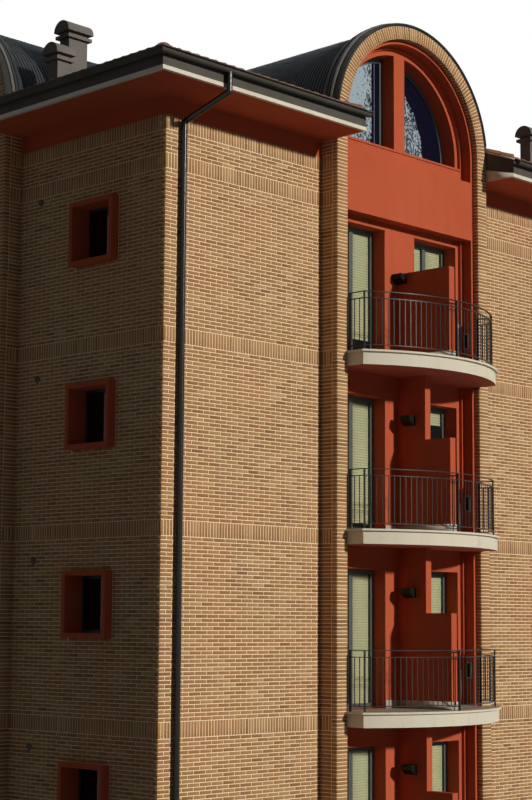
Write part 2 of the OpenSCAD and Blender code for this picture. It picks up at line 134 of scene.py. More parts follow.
class Shader:
    """A material and the few nodes that this scene needs."""

    def __init__(self, name, roughness, specular):
        self.material = bpy.data.materials.new(name)
        self.material.use_nodes = True
        self.tree = self.material.node_tree
        self.bsdf = self.tree.nodes["Principled BSDF"]
        self.bsdf.inputs["Roughness"].default_value = roughness
        self.bsdf.inputs["Specular IOR Level"].default_value = specular
        self.object = self.node("ShaderNodeTexCoord").outputs["Object"]

    def node(self, kind, **settings):
        made = self.tree.nodes.new(kind)
        for key, value in settings.items():
            setattr(made, key, value)
        return made

    def put(self, socket, value):
        """A link where value is an output, or else the number itself."""
        if isinstance(value, bpy.types.NodeSocket):
            self.tree.links.new(value, socket)
        else:
            socket.default_value = value

    def math(self, operation, a, b=0.0, c=0.0):
        made = self.node("ShaderNodeMath", operation=operation)
        for socket, value in zip(made.inputs, (a, b, c)):
            self.put(socket, value)
        return made.outputs[0]

    def mix(self, factor, a, b, blend="MIX"):
        made = self.node("ShaderNodeMix", data_type="RGBA", blend_type=blend)
        self.put(made.inputs[0], factor)
        self.put(made.inputs[6], a)
        self.put(made.inputs[7], b)
        return made.outputs[2]

    def axes(self, vector=None):
        made = self.node("ShaderNodeSeparateXYZ")
        self.put(made.inputs[0], vector or self.object)
        return made.outputs

    def noise(self, scale, detail=3.0, stretch=(1, 1, 1)):
        place = self.node("ShaderNodeMapping")
        place.inputs["Scale"].default_value = stretch
        self.put(place.inputs["Vector"], self.object)
        made = self.node("ShaderNodeTexNoise")
        made.inputs["Scale"].default_value = scale
        made.inputs["Detail"].default_value = detail
        self.put(made.inputs["Vector"], place.outputs[0])
        return made.outputs["Fac"]

    def ramp(self, factor, *stops):
        made = self.node("ShaderNodeValToRGB")
        elements = made.color_ramp.elements
        while len(elements) < len(stops):
            elements.new(0.5)
        for element, (place, colour) in zip(elements, stops):
            element.position = place
            element.color = colour
        self.put(made.inputs[0], factor)
        return made.outputs[0]

    def spread(self, factor, low_end, high_end):
        """A factor stretched so that low_end becomes 0 and high_end 1, clamped."""
        made = self.node("ShaderNodeMapRange", clamp=True)
        self.put(made.inputs[0], factor)
        made.inputs[1].default_value = low_end
        made.inputs[2].default_value = high_end
        return made.outputs[0]

    def tone(self):
        return self.node("ShaderNodeAttribute", attribute_name="tone").outputs["Fac"]

    def colour(self, value):
        self.put(self.bsdf.inputs["Base Color"], value)

    def roughness(self, factor, smooth, rough):
        made = self.node("ShaderNodeMapRange")
        self.put(made.inputs[0], factor)
        made.inputs[3].default_value = smooth
        made.inputs[4].default_value = rough
        self.put(self.bsdf.inputs["Roughness"], made.outputs[0])

    def bump(self, factor, depth, strength=1.0):
        made = self.node("ShaderNodeBump")
        made.inputs["Strength"].default_value = strength
        made.inputs["Distance"].default_value = depth
        self.put(made.inputs["Height"], factor)
        self.put(self.bsdf.inputs["Normal"], made.outputs[0])

    def indoors(self):
        """1 on faces inside the outer walls."""
        x, y, _ = self.axes()
        reach = self.math("MAXIMUM", self.math("ABSOLUTE", x), self.math("ABSOLUTE", y))
        return self.math("LESS_THAN", reach, HALF - WALL_T + INDOORS_PAST)

    def facing(self, up):
        """1 on faces that look up, or down."""
        z = self.axes(self.node("ShaderNodeNewGeometry").outputs["Normal"])[2]
        return self.math("GREATER_THAN" if up else "LESS_THAN", z, 0.5 if up else -0.5)


# The colour of walls indoors. It reaches this far past their inner faces.
ROOM = rgb(120, 112, 102)
INDOORS_PAST = 0.002
# The painted reflection of foliage on the arch glass: on the left it keeps a gap from the
# middle.
# On the right its edge is at a foot where the arch springs and leans in with the height
# squared.
REFLECTION_GAP = 0.45
REFLECTION_FOOT = 1.045
REFLECTION_LEAN = -0.4
# A thin pale line on the glass, left of the fin
LINE_X = 0.37
LINE_W = 0.022


def brick_material():
    s = Shader("face_brick", roughness=0.88, specular=0.1)
    base = s.ramp(
        s.tone(),
        (0.0, rgb(138, 100, 66)), (0.1, rgb(154, 114, 76)), (0.5, rgb(166, 127, 85)),
        (0.9, rgb(178, 140, 96)), (0.97, rgb(188, 152, 110)), (1.0, rgb(168, 120, 82)),
    )
    patch = s.spread(s.noise(0.5, 2.0), 0.4, 0.65)
    warm = s.mix(s.math("MULTIPLY", patch, 0.45), base, rgb(176, 122, 80))
    grain = s.noise(75, 3.0)
    dark = s.ramp(grain, (0.3, (0.78, 0.78, 0.78, 1)), (0.65, (1.06, 1.06, 1.06, 1)))
    s.colour(s.mix(1.0, warm, dark, "MULTIPLY"))
    s.bump(grain, 0.003)
    return s.material


def mortar_material():
    s = Shader("mortar", roughness=0.92, specular=0.12)
    grain = s.noise(140, 2.0)
    patch = s.noise(0.7, 2.0)
    base = s.mix(patch, rgb(242, 216, 174), rgb(252, 232, 196))
    base = s.mix(s.math("MULTIPLY", grain, 0.2), base, rgb(190, 158, 116))
    s.colour(s.mix(s.indoors(), base, ROOM))
    s.bump(grain, 0.002)
    return s.material


def plaster_material(name, base, stain, interior=True):
    s = Shader(name, roughness=0.85, specular=0.06)
    cloud = s.spread(s.noise(0.9, 5.0), 0.35, 0.75)
    streak = s.spread(s.noise(5.0, 3.0, stretch=(1, 1, 0.08)), 0.52, 0.8)
    grain = s.noise(220, 2.0)
    stained = s.mix(s.math("MULTIPLY", cloud, 0.35), base, stain)
    stained = s.mix(s.math("MULTIPLY", streak, 0.3), stained, stain)
    stained = s.mix(s.math("MULTIPLY", grain, 0.12), stained, (1, 1, 1, 1), "SOFT_LIGHT")
    if interior:
        stained = s.mix(s.indoors(), stained, ROOM)
    s.colour(stained)
    s.bump(grain, 0.0015, 0.6)
    return s.material


def balcony_material():
    s = Shader("white_balcony_edge", roughness=0.75, specular=0.3)
    cloud = s.noise(1.6, 5.0)
    streak = s.spread(s.noise(9.0, 2.0, stretch=(1, 1, 0.12)), 0.55, 0.85)
    white = s.mix(cloud, rgb(218, 210, 190), rgb(202, 194, 172))
    white = s.mix(s.math("MULTIPLY", streak, 0.35), white, rgb(176, 162, 138))
    floor = s.mix(s.noise(3.0), rgb(176, 160, 138), rgb(150, 132, 112))
    red = s.mix(cloud, rgb(176, 82, 56), rgb(160, 70, 50))
    outer = s.mix(s.facing(True), white, floor)
    above = s.math("SUBTRACT", s.axes()[2], GROUND_Z)
    above = s.math("FLOORED_MODULO", above, STOREY_H)
    soffit = s.math("LESS_THAN", above, STOREY_H - NOSING)
    s.colour(s.mix(s.math("MULTIPLY", s.facing(False), soffit), outer, red))
    s.bump(s.noise(160, 2.0), 0.001, 0.5)
    return s.material


def metal_material(name, light, dark, roughness, scale, specular=0.25):
    s = Shader(name, roughness=roughness, specular=specular)
    cloud = s.noise(scale, 5.0)
    drip = s.spread(s.noise(12.0, 2.0, stretch=(1, 1, 0.15)), 0.5, 0.85)
    base = s.mix(cloud, light, dark)
    s.colour(s.mix(s.math("MULTIPLY", drip, 0.25), base, dark))
    s.roughness(cloud, roughness - 0.08, roughness + 0.12)
    s.bump(s.noise(90, 2.0), 0.0006, 0.4)
    return s.material


def blind_material():
    s = Shader("pale_blind", roughness=0.6, specular=0.2)
    wash = s.noise(2.0, 3.0)
    s.colour(s.mix(wash, rgb(226, 226, 178), rgb(206, 207, 158)))
    s.bump(s.noise(60, 2.0), 0.0008, 0.4)
    return s.material


def clear_glass_material():
    s = Shader("door_glass_clear", roughness=0.04, specular=0.6)
    s.colour(s.mix(s.noise(0.6), rgb(40, 46, 48), rgb(60, 70, 72)))
    s.bsdf.inputs["Alpha"].default_value = 0.13
    return s.material


def dark_glass_material():
    s = Shader("window_glass_dark", roughness=0.05, specular=0.5)
    s.colour(s.mix(s.noise(0.8), rgb(12, 12, 15), rgb(24, 26, 32)))
    s.roughness(s.noise(1.5), 0.03, 0.09)
    s.bsdf.inputs["Alpha"].default_value = 0.82
    return s.material


def arch_glass_material():
    """Dark glass of the arch windows. The left pane, and the low corner of the right one
    beside the fin, carry a painted reflection of foliage: pale, broken up like leaves."""
    s = Shader("arch_glass", roughness=0.06, specular=0.4)
    # Distance to the right of the window's middle, on each side, and above the springing
    x, y, z = s.axes()
    across = s.math("MULTIPLY", x, s.math("MULTIPLY", s.math("SIGN", y), -1.0))
    along = s.math("MULTIPLY", y, s.math("SIGN", x))
    turned = s.math("GREATER_THAN", s.math("ABSOLUTE", x), s.math("ABSOLUTE", y))
    keep = s.math("SUBTRACT", 1.0, turned)
    local = s.math("ADD", s.math("MULTIPLY", across, keep), s.math("MULTIPLY", along, turned))
    height = s.math("SUBTRACT", z, SPRING_Z)
    # Where the painted reflection lies: all of the left pane past the gap, the low corner of
    # the right
    left = s.math("LESS_THAN", local, -REFLECTION_GAP)
    ragged = s.math("MULTIPLY", s.math("SUBTRACT", s.noise(6.0, 4.0), 0.5), 0.12)
    edge = s.math("MULTIPLY_ADD", s.math("MULTIPLY", height, height), REFLECTION_LEAN, REFLECTION_FOOT)
    right = s.math("LESS_THAN", s.math("ADD", local, ragged), edge)
    right = s.math("MULTIPLY", right, s.math("GREATER_THAN", local, 0.0))
    painted_reflection = s.math("MAXIMUM", left, right)
    # How dense the reflected leaves are that break it up: more toward the middle and the foot
    leaves = s.noise(26, 6.0, stretch=(1, 1, 0.7))
    beside = s.math("MULTIPLY_ADD", s.spread(local, -1.0, -0.6), 0.2, 0.28)
    below = s.math("MULTIPLY_ADD", s.spread(height, 0.75, 0.25), 0.24, 0.28)
    crown = s.math("MULTIPLY", s.math("SUBTRACT", s.noise(2.2, 4.0), 0.5), 0.25)
    thick = s.math("ADD", s.math("MAXIMUM", beside, below), crown)
    thick = s.math("MULTIPLY_ADD", right, 0.04, thick)
    broken = s.spread(s.math("ADD", leaves, thick), 0.97, 1.06)
    # Painted reflection: pale sky, broken by darker reflected leaves
    pale = s.mix(broken, rgb(150, 168, 180), rgb(22, 36, 42))
    line = s.math("LESS_THAN", s.math("ABSOLUTE", s.math("ADD", local, LINE_X)), LINE_W / 2)
    dark = s.mix(line, rgb(14, 18, 36), rgb(96, 100, 104))
    # The painted reflection laid over the dark glass
    s.colour(s.mix(painted_reflection, dark, pale))
    s.roughness(s.noise(1.5), 0.03, 0.09)
    s.bsdf.inputs["Alpha"].default_value = 0.93
    return s.material


def tile_material():
    s = Shader("clay_tile", roughness=0.85, specular=0.3)
    base = s.ramp(
        s.tone(),
        (0.0, rgb(112, 66, 50)), (0.3, rgb(138, 84, 63)), (0.6, rgb(154, 98, 75)),
        (0.85, rgb(168, 116, 92)), (1.0, rgb(124, 84, 70)),
    )
    lichen = s.spread(s.noise(4.0, 6.0), 0.56, 0.74)
    base = s.mix(s.math("MULTIPLY", lichen, 0.45), base, rgb(112, 100, 82))
    grain = s.noise(60, 3.0)
    s.colour(s.mix(s.math("MULTIPLY", grain, 0.4), base, rgb(96, 60, 46)))
    s.bump(grain, 0.003)
    return s.material


def concrete_material():
    s = Shader("floor_concrete", roughness=0.9, specular=0.25)
    cloud = s.noise(1.2, 6.0)
    pores = s.noise(45, 3.0)
    base = s.mix(cloud, rgb(140, 134, 124), rgb(112, 106, 98))
    s.colour(s.mix(s.math("MULTIPLY", pores, 0.3), base, rgb(88, 82, 76)))
    s.bump(pores, 0.002)
    return s.material


RED = (rgb(183, 87, 57), rgb(156, 68, 46))
BRICK = brick_material()
MORTAR = mortar_material()
PLASTER = plaster_material("red_plaster", *RED)
SOFFIT = plaster_material("red_soffit", *RED, interior=False)
BALCONY = balcony_material()
# Metals, paints and boards: two colours, roughness, scale of their clouds, specular
DARK_METAL = metal_material("railing_paint", rgb(30, 27, 25), rgb(17, 16, 15), 0.32, 8, 0.22)
ROOF_METAL = metal_material("brown_metal", rgb(98, 94, 86), rgb(70, 67, 61), 0.6, 3, 0.03)
CHIMNEY = metal_material("chimney_metal", rgb(124, 119, 112), rgb(96, 92, 88), 0.6, 3, 0.03)
PIPE_METAL = metal_material("pipe_paint", rgb(26, 25, 22), rgb(14, 13, 12), 0.2, 8, 0.22)
# The sheet itself is brown-grey; these colours are darker and bluer: painted shade and a
# painted reflection of blue sky
BARREL = metal_material("barrel_sheet", rgb(66, 70, 73), rgb(40, 46, 54), 0.6, 1.2, 0.1)
CAP_METAL = metal_material("arch_cap_sheet", rgb(58, 58, 55), rgb(34, 34, 34), 0.55, 4, 0.1)
FLASHING = metal_material("pale_flashing", rgb(112, 108, 100), rgb(84, 82, 76), 0.55, 5)
FRAME = metal_material("grey_frame", rgb(88, 92, 87), rgb(70, 74, 70), 0.5, 6)
DARK_FRAME = metal_material("dark_frame", rgb(34, 40, 40), rgb(22, 26, 27), 0.5, 6, 0.15)
WHITE = metal_material("white_board", rgb(222, 214, 196), rgb(198, 190, 170), 0.6, 2)
PALE = metal_material("pale_vent", rgb(206, 198, 184), rgb(182, 172, 158), 0.6, 9)
BLACK = metal_material("vent_dark", rgb(26, 24, 22), rgb(14, 13, 12), 0.7, 9)
BLIND = blind_material()
DOOR_GLASS = clear_glass_material()
WINDOW_GLASS = dark_glass_material()
ARCH_GLASS = arch_glass_material()
TILE = tile_material()
CONCRETE = concrete_material()

DRESS = {
    MORTAR: ("wing_walls", "window_wing_walls", "window_walls",
             *(f"{side}_arch" for side in SIDES)),
    PLASTER: ("bay_walls", "door_lintels", "arch_linings", "arch_panels", "arch_surrounds",
              "arch_sills", "divider_walls", "window_surrounds"),
    SOFFIT: ("eaves",),
    BALCONY: [f"{side}_balconies" for side in SIDES],
    DARK_METAL: ("wall_lamps", *(f"{side}_railings" for side in SIDES)),
    ROOF_METAL: ("gutters",),
    CHIMNEY: ("chimneys", "chimney_caps"),
    PIPE_METAL: ("downpipes",),
    CAP_METAL: ("arch_caps",),
    BARREL: ("barrel_roofs",),
    FRAME: ("arch_window_frames", "door_frames", "garden_door_frame", "garden_door_hinges",
            "garden_door_left", "garden_door_right"),
    DARK_FRAME: ("window_frames",),
    WHITE: ("eaves_trim",),
    DOOR_GLASS: ("door_glass", "garden_door_left_glass", "garden_door_right_glass"),
    WINDOW_GLASS: ("window_glass",),
    ARCH_GLASS: ("arch_window_glass",),
    TILE: ("main_roof",),
    CONCRETE: ("ground_floor", "upper_floors", "attic_floor"),
}
for material, names in DRESS.items():
    for name in names:
        slots = cad[name].data.materials
        slots.clear()
        slots.append(material)


# ---- Meshes of quads ----

# A block: points 0 to 3 are its open foot on the wall, points 4 to 7 its front
BLOCK_FACES = np.array([(4, 5, 6, 7), (0, 1, 5, 4), (1, 2, 6, 5), (2, 3, 7, 6), (3, 0, 4, 7)])
CLOSED_FACES = np.vstack((BLOCK_FACES, [(3, 2, 1, 0)]))
# Left and right
HANDS = (-1, 1)


def link(name, data):
    """A new object in the scene."""
    made = bpy.data.objects.new(name, data)
    bpy.context.scene.collection.objects.link(made)
    return made


class Quads:
    """Gathers quads and a tone from 0 to 1 for each vertex, and makes a piece of them."""

    def __init__(self):
        self.points, self.faces, self.tones = [], [], []
        self.count = 0

    def add(self, points, faces, tones=0.5):
        points = np.asarray(points, float).reshape(-1, 3)
        self.points.append(points)
        self.faces.append(np.asarray(faces, int).reshape(-1, 4) + self.count)
        self.tones.append(np.broadcast_to(np.asarray(tones, float), (len(points),)))
        self.count += len(points)

    def blocks(self, side, centre, out, up, width, height, proud, bevel, tones, closed=False):
        """Blocks with their feet at the given centres. Each stands out of its surface by
        proud, and its front is smaller by bevel all round."""
        centre, out, up = (np.atleast_2d(np.asarray(a, float)) for a in (centre, out, up))
        along = np.cross(up, out)
        n = max(len(centre), len(np.atleast_1d(width)))
        w = np.broadcast_to(np.asarray(width, float) / 2, (n,))[:, None]
        h = np.broadcast_to(np.asarray(height, float) / 2, (n,))[:, None]
        ring = []
        for lift, inset in ((0, 0), (proud, bevel)):
            for a, b in ((-1, -1), (1, -1), (1, 1), (-1, 1)):
                ring.append(centre + along * a * (w - inset)
                            + up * b * (h - inset) + out * lift)
        points = np.stack(ring, 1).reshape(-1, 3)
        template = CLOSED_FACES if closed else BLOCK_FACES
        faces = (template[None] + 8 * np.arange(n)[:, None, None]).reshape(-1, 4)
        self.add(to_part(points, side), faces, np.repeat(np.broadcast_to(tones, (n,)), 8))

    def box(self, side, a, b):
        """A closed box between two corners, in a side's own frame."""
        (x0, y0, z0), (x1, y1, z1) = np.minimum(a, b), np.maximum(a, b)
        ring = ((x0, z0), (x1, z0), (x1, z1), (x0, z1))
        points = [(x, y, z) for y in (y1, y0) for x, z in ring]
        self.add(to_part(points, side), CLOSED_FACES)

    def sweep(self, side, rings, tones=0.5):
        """A tube through rings of the same number of points. One of four-cornered rings
        is closed at both ends."""
        rings = np.asarray(rings, float)
        n, m = rings.shape[:2]
        faces = [
            (i * m + j, i * m + (j + 1) % m, (i + 1) * m + (j + 1) % m, (i + 1) * m + j)
            for i in range(n - 1) for j in range(m)
        ]
        if m == 4:
            faces += [(3, 2, 1, 0), tuple((n - 1) * m + j for j in range(4))]
        self.add(to_part(rings.reshape(-1, 3), side), faces, tones)

    def piece(self, name, material, slot, body="building"):
        points, faces = np.vstack(self.points), np.vstack(self.faces)
        mesh = bpy.data.meshes.new(name)
        mesh.vertices.add(len(points))
        mesh.vertices.foreach_set("co", points.ravel())
        mesh.loops.add(faces.size)
        mesh.loops.foreach_set("vertex_index", faces.ravel())
        mesh.polygons.add(len(faces))
        mesh.polygons.foreach_set("loop_start", np.arange(0, faces.size, 4))
        mesh.update(calc_edges=True)
        tone = mesh.attributes.new("tone", "FLOAT", "POINT")
        tone.data.foreach_set("value", np.concatenate(self.tones))
        mesh.materials.append(material)
        made = link(name, mesh)
        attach(made, body)


# ---- Brickwork ----

# A course with its joint, the joint, a brick's length and end, the courses of a band
COURSE = 0.065
JOINT = 0.012
STRETCHER = 0.25
HEADER = 0.12
BAND_COURSES = 4
# How far bricks stand out of the mortar, and how much smaller their fronts are all round
PROUD = 0.003
BEVEL = 0.0015
# No brick is laid shorter than this: the one before it takes up the rest
SHORTEST = 0.04
# The lowest course of each band of upright bricks: below each floor, with the first one a
# course lower, at the foot of the red panel and at the top
BANDS = [round((level(k) - SLAB_T) / COURSE) - (k == 1) for k in range(1, STOREYS)]
BANDS += [round(PANEL_Z / COURSE), round(BRICK_TOP / COURSE) - BAND_COURSES]
# By corner and course, of which there are fewer than 1000: a brick has one tone on both
# faces of its corner
CORNER_TONES = rng.random((4, 1000))


def brick_ends(length, long_first):
    """Start and end of each brick of one course, from the corner at 0."""
    ends, at = [], 0.0
    size = STRETCHER if long_first else HEADER
    while at < length - SHORTEST:
        end = at + size
        if length - end < SHORTEST:
            end = length
        ends.append((at, end))
        at, size = end + JOINT, STRETCHER
    return ends


def soldier_ends(length):
    """Start and end of each upright brick of a band."""
    count = round((length + JOINT) / COURSE)
    pitch = (length + JOINT) / count
    return [(i * pitch, (i + 1) * pitch - JOINT) for i in range(count)]


def around(holes, start, end, foot, head):
    """What is left of a brick beside, below and above the hole that it meets, if any."""
    parts = [(start, end, foot, head)]
    for x0, x1, z0, z1 in holes:
        if foot < z1 and head > z0 and start < x1 and end > x0:
            inner, outer = max(start, x0 - JOINT / 2), min(end, x1 + JOINT / 2)
            parts = [(start, x0 - JOINT, foot, head), (x1 + JOINT, end, foot, head),
                     (inner, outer, foot, z0), (inner, outer, z1, head)]
    return [p for p in parts if p[1] - p[0] > SHORTEST / 2 and p[3] - p[2] > JOINT]


def courses(length, top, long_first, corner, holes=(), bands=BANDS, stacked=False):
    """Rows of (start, end, foot, head, tone) for a face, measured from its corner. Every
    second course starts with the other size of brick, unless they are stacked."""
    rows = []
    for c in range(math.ceil(top / COURSE)):
        banded = [b for b in bands if b <= c < b + BAND_COURSES]
        if banded and c != banded[0]:
            continue
        foot = c * COURSE + JOINT
        head = min((c + (BAND_COURSES if banded else 1)) * COURSE, top)
        if head - foot < JOINT:
            continue
        swapped = c % 2 == 1 and not stacked
        ends = soldier_ends(length) if banded else brick_ends(length, long_first ^ swapped)
        for i, (start, end) in enumerate(ends):
            if i == 0:
                start, tone = start - PROUD, CORNER_TONES[corner, c]
            else:
                tone = rng.random()
            rows += [(*part, tone) for part in around(holes, start, end, foot, head)]
    return np.array(rows)


def lay(batch, side, rows, origin, out, reverse=False):
    """Rows of bricks on a flat face. They run from the origin along up x out."""
    out = np.array(out, float)
    along = np.cross((0, 0, 1), out) * (-1 if reverse else 1)
    middle = (rows[:, 0] + rows[:, 1]) / 2
    centre = np.array(origin, float) + middle[:, None] * along
    centre[:, 2] += (rows[:, 2] + rows[:, 3]) / 2
    batch.blocks(
        side, centre, out, (0, 0, 1), rows[:, 1] - rows[:, 0], rows[:, 3] - rows[:, 2],
        PROUD, BEVEL, rows[:, 4],
    )


def window_holes():
    """The windows of a side wing, as distances from the corner and heights."""
    start = HALF - WINDOW_HIGH_X
    for k in range(STOREYS):
        z = level(k) + WINDOW_RISE
        yield start, start + WINDOW_W, z, z + WINDOW_H


def wing_bricks(side):
    batch = Quads()
    holes = list(window_holes()) if side % 2 else ()
    length = HALF - BAY_HALF - JOINT / 2
    left = courses(length, BRICK_TOP, True, side, holes)
    right = courses(length, BRICK_TOP, False, (side + 1) % 4, holes)
    lay(batch, side, left, (-HALF, 0, 0), (0, -1, 0))
    lay(batch, side, right, (HALF, 0, 0), (0, -1, 0), reverse=True)
    batch.piece(f"{SIDES[side]}_wing_bricks", BRICK, "brick")


def banded_side(rows):
    """Bands on the outer face of a pier. They stop at the ends of the front's bricks."""
    start = HEADER + JOINT
    for b in BANDS:
        foot, head = b * COURSE + JOINT, (b + BAND_COURSES) * COURSE
        inside = (rows[:, 2] > foot - JOINT / 2) & (rows[:, 3] < head + JOINT / 2)
        rows = rows[~inside | (rows[:, 0] < HEADER)]
        soldiers = [(start + a, start + end, foot, head, rng.random())
                    for a, end in soldier_ends(PIER_OUT - start)]
        rows = np.vstack((rows, soldiers))
    return rows


def pier_bricks(batch, side, hand):
    """A whole brick across the front of the pier in each course, its ends on both sides,
    and more bricks behind them. Each face draws its tones from the same state."""
    state = rng.bit_generator.state
    corner = side if hand < 0 else (side + 2) % 4
    for face, length, x, out, reverse in (
        ("front", PIER_W, BAY_HALF, (0, -1, 0), hand > 0),
        ("outer", PIER_OUT, BAY_HALF, (hand, 0, 0), hand < 0),
        ("inner", PIER_OUT + LINING_Y, RING_R, (-hand, 0, 0), hand > 0),
    ):
        rng.bit_generator.state = state
        rows = courses(length, SPRING_Z, face == "front", corner, bands=(), stacked=True)
        if face == "front":
            rows[:, 1] += np.where(np.isclose(rows[:, 1], PIER_W), PROUD, 0)
        elif face == "outer":
            rows = banded_side(rows)
        lay(batch, side, rows, (hand * x, -PIER_OUT, 0), out, reverse)


def ring_bricks(batch, side):
    """Bricks round the arch, in front and on its underside."""
    count = round(math.pi * (RING_R + BAY_HALF) / 2 / COURSE)
    angle = (np.arange(count) + 0.5) * math.pi / count
    radial = np.column_stack((np.cos(angle), np.zeros(count), np.sin(angle)))
    tones = rng.random(count)
    hub = np.array((0, 0, SPRING_Z))
    front = hub + radial * (RING_R + PIER_W / 2) + (0, -PIER_OUT, 0)
    batch.blocks(side, front, (0, -1, 0), radial, COURSE - JOINT, PIER_W - BEVEL,
                 PROUD, BEVEL, tones)
    under = hub + radial * RING_R + (0, (LINING_Y - PIER_OUT) / 2, 0)
    width = math.pi * RING_R / count - JOINT
    back = np.tile((0.0, 1.0, 0.0), (count, 1))
    batch.blocks(side, under, -radial, back, width, PIER_OUT + LINING_Y, PROUD, BEVEL, tones)


def arch_bricks(side):
    batch = Quads()
    for hand in HANDS:
        pier_bricks(batch, side, hand)
    ring_bricks(batch, side)
    batch.piece(f"{SIDES[side]}_arch_bricks", BRICK, "brick")


for side in range(4):
    wing_bricks(side)
    arch_bricks(side)


# ---- Tiled roof ----

APEX_Z = high("main_roof").z
ROOF_HALF = high("main_roof").x
SLOPE = (APEX_Z - low("main_roof").z) / ROOF_HALF
PITCH = math.atan(SLOPE)
EAVE_Y = HALF - ROOF_HALF
BARREL_R = high("barrel_roofs").z - SPRING_Z
# A tile: its width and length in the roof, its profile at the foot and the lift there
TILE_W = 0.2
TILE_L = 0.33
TILE_LIFT = 0.006
TILE_PROFILE = np.array([
    (-0.100, 0.003), (-0.078, 0.003), (-0.045, 0.019), (0.0, 0.028),
    (0.045, 0.019), (0.078, 0.003), (0.100, 0.003),
])
# Shares of its width and height at the head, and of its length with what is hidden there
TILE_HEAD_W = 0.94
TILE_HEAD_H = 0.9
TILE_OVERLAP = 1.06
# How far a tile may stand over the edge of a barrel or a bay
TILE_PAST_CUT = 0.01
# Narrow, tall tiles on the edge beside the bay: how many, how far from the eaves and from
# the bay, and their scale
VERGE_TILES = 2
VERGE_START = 0.1
VERGE_IN = 0.066
VERGE_SCALE = (0.64, 2.5)
# Half-round tiles on the hips: start of the first one, half width, foot and crown from the
# roof's edge, overlap, share of the size at the head
HIP_START = 0.1
HIP_HALF = 0.115
HIP_FOOT = -0.024
HIP_RISE = 0.05
HIP_OVERLAP = 0.02
HIP_HEAD = 0.88
HIP_POINTS = 9
# The plate that ends the eaves beside the bay: how far it stays from the pier's front and
# the roof's edge, and its height there. The strip lies between two depths below the roof.
END_T = 0.012
END_GAPS = (0.007, 0.03)
END_TOPS = (0.235, 0.067)
STRIP_DEPTHS = (0.03, 0.002)
# The gutter, the bead on its lip and the plate in its end, which starts at a small hub
GUTTER_R = 0.075
GUTTER_DROP = 0.058
GUTTER_Z = low("main_roof").z - GUTTER_DROP
BEAD_R = 0.01
BEAD_POINTS = 8
PLATE_T = 0.006
PLATE_HUB = 0.001
PLATE_POINTS = 13


def roof_height(y):
    """Top of the CAD roof over a side, at the distance y in from its wall face."""
    return APEX_Z - SLOPE * (HALF - y)


def roof_cut(y):
    """How far from the middle of a side the barrel or the bay cuts the roof."""
    rise = np.clip(roof_height(y) - SPRING_Z, 0, BARREL_R)
    return np.where(y < 0, BAY_HALF, np.sqrt(BARREL_R ** 2 - rise ** 2))


def tile_spots():
    """Place and profile of each tile of a side, as (x, y, profile)."""
    step = TILE_L * math.cos(PITCH)
    spots = []
    for row in range(int(ROOF_HALF / step)):
        y = EAVE_Y + row * step
        cut = float(roof_cut(np.array(y + step / 2)))
        for column in range(-round(BAY_HALF / TILE_W) - 1, round(ROOF_HALF / TILE_W)):
            x = BAY_HALF + (column + 0.5) * TILE_W
            if cut - TILE_PAST_CUT <= x - TILE_W / 2 and x <= HALF - y:
                spots += [(x, y, TILE_PROFILE), (-x, y, TILE_PROFILE)]
    for row in range(VERGE_TILES):
        x, y = BAY_HALF + VERGE_IN, EAVE_Y + VERGE_START + row * step
        spots += [(x, y, TILE_PROFILE * VERGE_SCALE), (-x, y, TILE_PROFILE * VERGE_SCALE)]
    return spots


def tiles(side):
    batch = Quads()
    up_slope = np.array((0, math.cos(PITCH), math.sin(PITCH)))
    normal = np.array((0, -math.sin(PITCH), math.cos(PITCH)))
    m = len(TILE_PROFILE)
    strips = [(j, j + 1, m + j + 1, m + j) for j in range(m - 1)]
    lips = [(2 * m + j, 2 * m + j + 1, j + 1, j) for j in range(m - 1)]
    for x, y, profile in tile_spots():
        foot = np.array((x, y, roof_height(y)))
        low_end = [foot + (u, 0, 0) + normal * (v + TILE_LIFT) for u, v in profile]
        high_end = [foot + (u * TILE_HEAD_W, 0, 0) + up_slope * TILE_L * TILE_OVERLAP
                    + normal * (v * TILE_HEAD_H) for u, v in profile]
        under = [foot + (u, 0, 0) for u, _ in profile]
        points = np.array(low_end + high_end + under)
        hip = HALF - points[:, 1]
        points[:, 0] = np.clip(points[:, 0], -hip, hip)
        batch.add(to_part(points, side), strips + lips, rng.random())
    batch.piece(f"{SIDES[side]}_roof_tiles", TILE, "roof_tile")


def hip_tiles():
    """Half-round tiles on the four hips, from the corners to the top."""
    batch = Quads()
    run = ROOF_HALF * math.sqrt(2)
    lean = math.atan2(APEX_Z - roof_height(EAVE_Y), run)
    count = int((run / math.cos(lean) - HIP_START) / TILE_L)
    arc = np.linspace(-0.5 * math.pi, 0.5 * math.pi, HIP_POINTS)
    m = len(arc)
    strips = [(j, m + j, m + j + 1, j + 1) for j in range(m - 1)]
    lips = [(2 * m + j, j, j + 1, 2 * m + j + 1) for j in range(m - 1)]
    for corner in range(4):
        turn = math.pi / 4 + corner * math.pi / 2
        outward = np.array((math.cos(turn), math.sin(turn), 0))
        across = np.array((-math.sin(turn), math.cos(turn), 0))
        climb = -outward * math.cos(lean) + np.array((0, 0, math.sin(lean)))
        normal = outward * math.sin(lean) + np.array((0, 0, math.cos(lean)))
        start = outward * run + (0, 0, roof_height(EAVE_Y)) + climb * HIP_START
        for i in range(count):
            rings = []
            for d, size in ((-HIP_OVERLAP, 1.0), (TILE_L, HIP_HEAD)):
                middle = start + climb * (i * TILE_L + d) + normal * HIP_FOOT
                rings.append([middle + across * HIP_HALF * size * math.sin(a)
                              + normal * (HIP_RISE - HIP_FOOT) * size * math.cos(a)
                              for a in arc])
            foot = [p - normal * (normal @ (p - rings[0][0])) for p in rings[0]]
            batch.add(np.array(rings[0] + rings[1] + foot), strips + lips, rng.random())
    batch.piece("hip_tiles", TILE, "roof_tile")


def plate_ring(hand, y, bottom, top):
    """Section of a thin plate that stands along the outer edge of a bay."""
    inner, outer = hand * (BAY_HALF - END_T), hand * BAY_HALF
    ring = [(inner, y, bottom), (outer, y, bottom), (outer, y, top), (inner, y, top)]
    return ring[::-hand]


